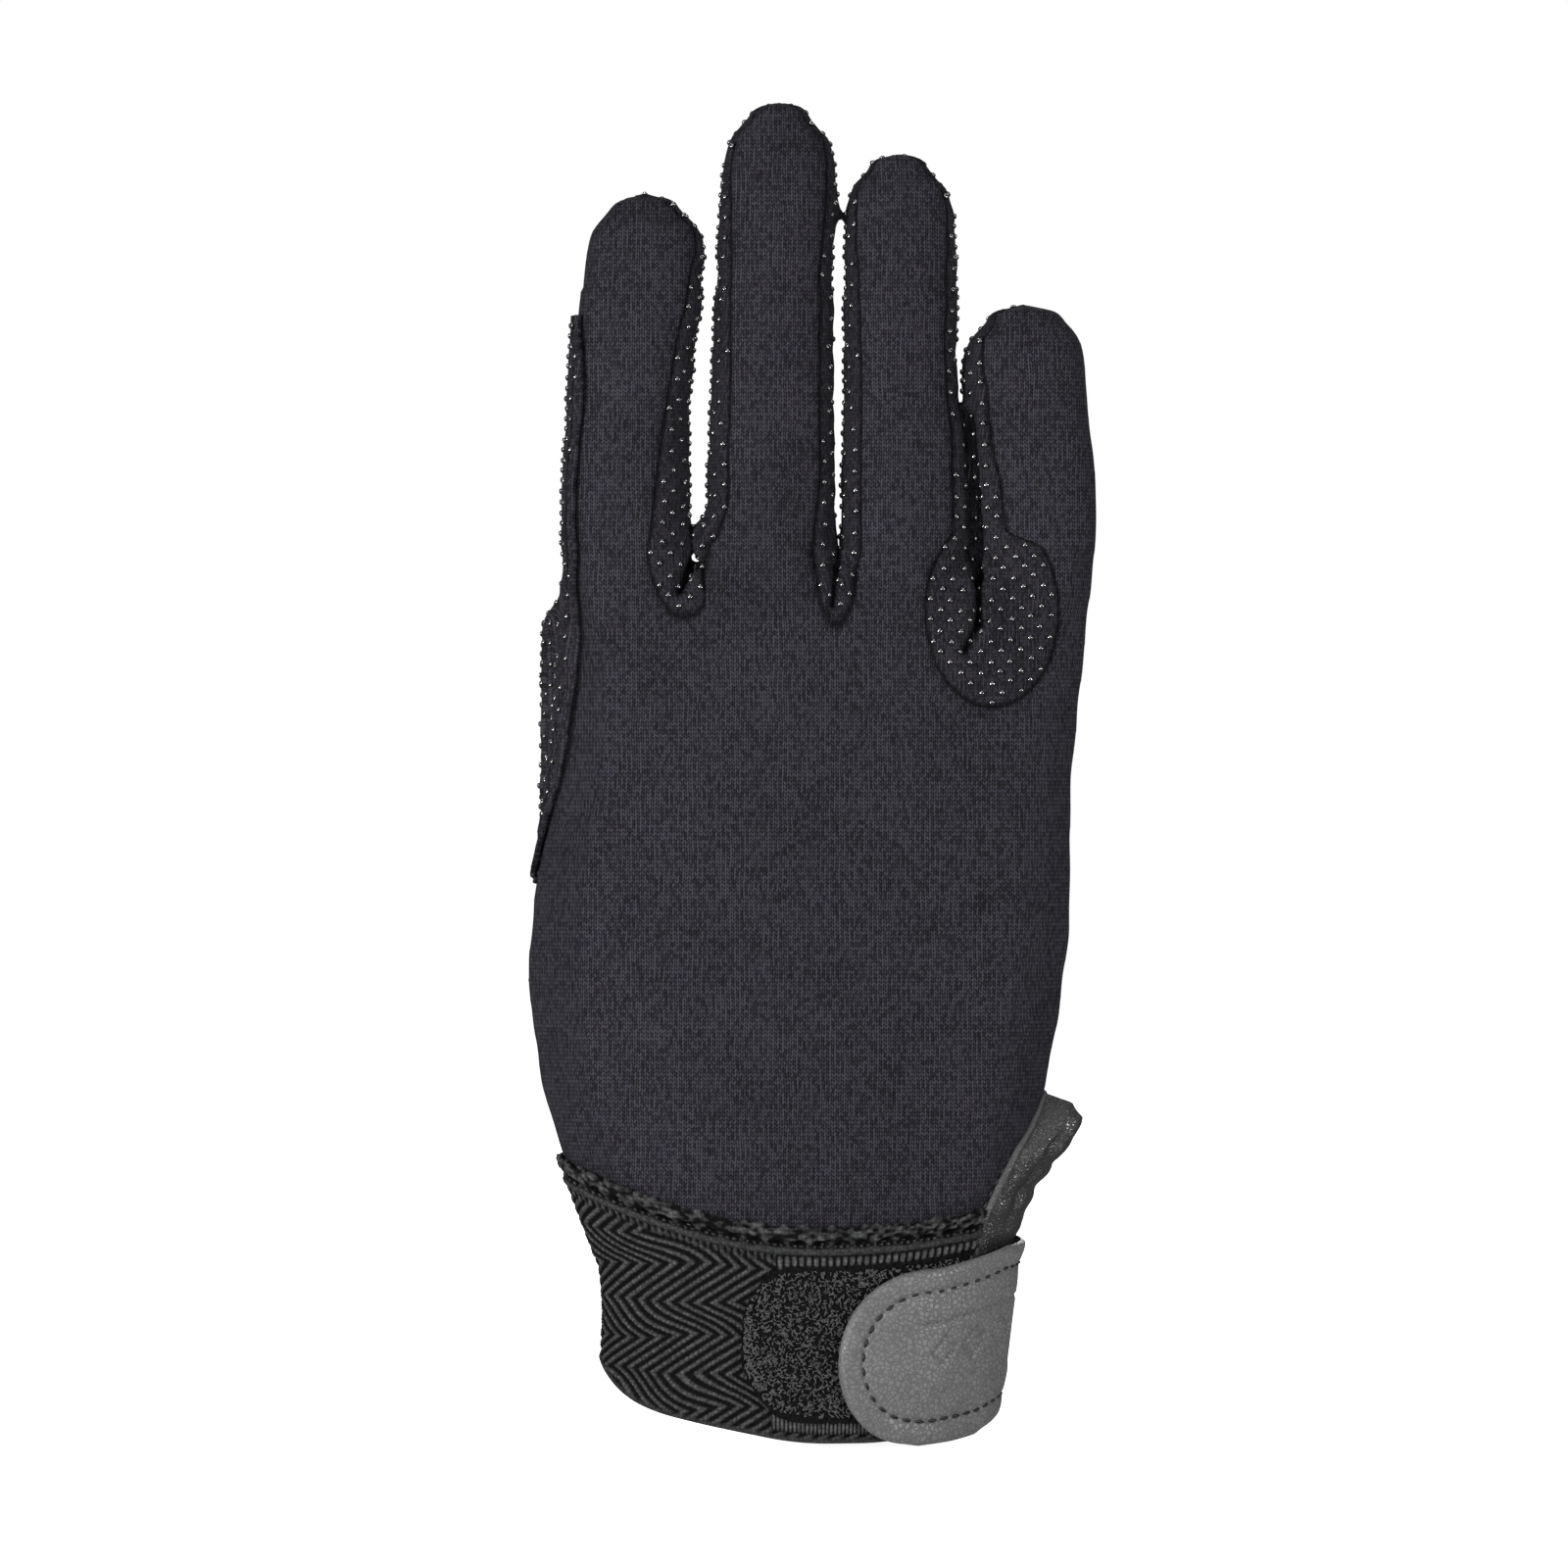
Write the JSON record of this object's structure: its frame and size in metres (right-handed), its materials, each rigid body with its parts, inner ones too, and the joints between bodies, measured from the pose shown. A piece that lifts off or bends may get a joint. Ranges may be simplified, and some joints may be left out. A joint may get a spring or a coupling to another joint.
{
  "type": "sports glove",
  "caption": "Right-hand knitted sports glove with a dotted grip palm, woven elastic wrist, vent and touch-close strap; fingers, thumb and strap move.",
  "frame": {"origin": "middle of the wrist opening, at the height of the elastic's lowest edge", "axes": "+Z runs from the wrist to the fingertips, -Y faces out of the back of the hand, +X is the little finger's side"},
  "size_m": [0.0984, 0.053, 0.2319],
  "materials": {
    "jersey": "matte fine knit",
    "dotted_knit": "matte fine knit with small glossy grip dots",
    "wrist_elastic": "woven herringbone with a slight sheen",
    "loop_pile": "fuzzy loop pile",
    "hook_tape": "fine plastic hooks",
    "synthetic_leather": "semi-matte pebble grain"
  },
  "bodies": {
    "hand": {"back_panel": "jersey", "palm_panel": "dotted_knit", "index_middle_web": "dotted_knit", "middle_ring_web": "dotted_knit", "ring_little_web": "dotted_knit", "index_patch_lower": "dotted_knit", "thumb_gusset": "dotted_knit", "cuff_elastic": "wrist_elastic", "wrist_seam_band": "wrist_elastic", "loop_tape": "loop_pile", "vent_facing_back": "synthetic_leather", "vent_facing_palm": "synthetic_leather", "vent_gusset": "synthetic_leather", "vent_piping": "synthetic_leather", "strap_root": "synthetic_leather"},
    "index_finger": {"index_back": "jersey", "index_palm": "dotted_knit", "index_fourchette_ulnar": "dotted_knit", "index_patch_upper": "dotted_knit"},
    "middle_finger": {"middle_back": "jersey", "middle_palm": "dotted_knit", "middle_fourchette_radial": "dotted_knit", "middle_fourchette_ulnar": "dotted_knit"},
    "ring_finger": {"ring_back": "jersey", "ring_palm": "dotted_knit", "ring_fourchette_radial": "dotted_knit", "ring_fourchette_ulnar": "dotted_knit"},
    "little_finger": {"little_back": "jersey", "little_palm": "dotted_knit", "little_fourchette_radial": "dotted_knit"},
    "thumb": {"thumb_inner": "dotted_knit", "thumb_outer": "dotted_knit"},
    "strap": {"strap_tab": "synthetic_leather", "hook_tape": "hook_tape"}
  },
  "joints": [
    {"name": "index_fold", "type": "hinge", "parent": "hand", "child": "index_finger", "pos_m": [-0.031, 0.004, 0.158], "axis": [-1, 0, 0], "range_deg": [-15, 75]},
    {"name": "middle_fold", "type": "hinge", "parent": "hand", "child": "middle_finger", "pos_m": [-0.0065, 0.004, 0.158], "axis": [-1, 0, 0], "range_deg": [-15, 75]},
    {"name": "ring_fold", "type": "hinge", "parent": "hand", "child": "ring_finger", "pos_m": [0.017, 0.004, 0.158], "axis": [-1, 0, 0], "range_deg": [-15, 75]},
    {"name": "little_fold", "type": "hinge", "parent": "hand", "child": "little_finger", "pos_m": [0.04, 0.004, 0.158], "axis": [-1, 0, 0], "range_deg": [-15, 75]},
    {"name": "thumb_swing", "type": "hinge", "parent": "hand", "child": "thumb", "pos_m": [-0.0357, 0.0232, 0.086], "axis": [0, -1, 0], "range_deg": [-20, 50]},
    {"name": "strap_peel", "type": "hinge", "parent": "hand", "child": "strap", "pos_m": [0.0322, 0.0079, 0.02], "axis": [0, 0, 1], "range_deg": [0, 120]}
  ]
}
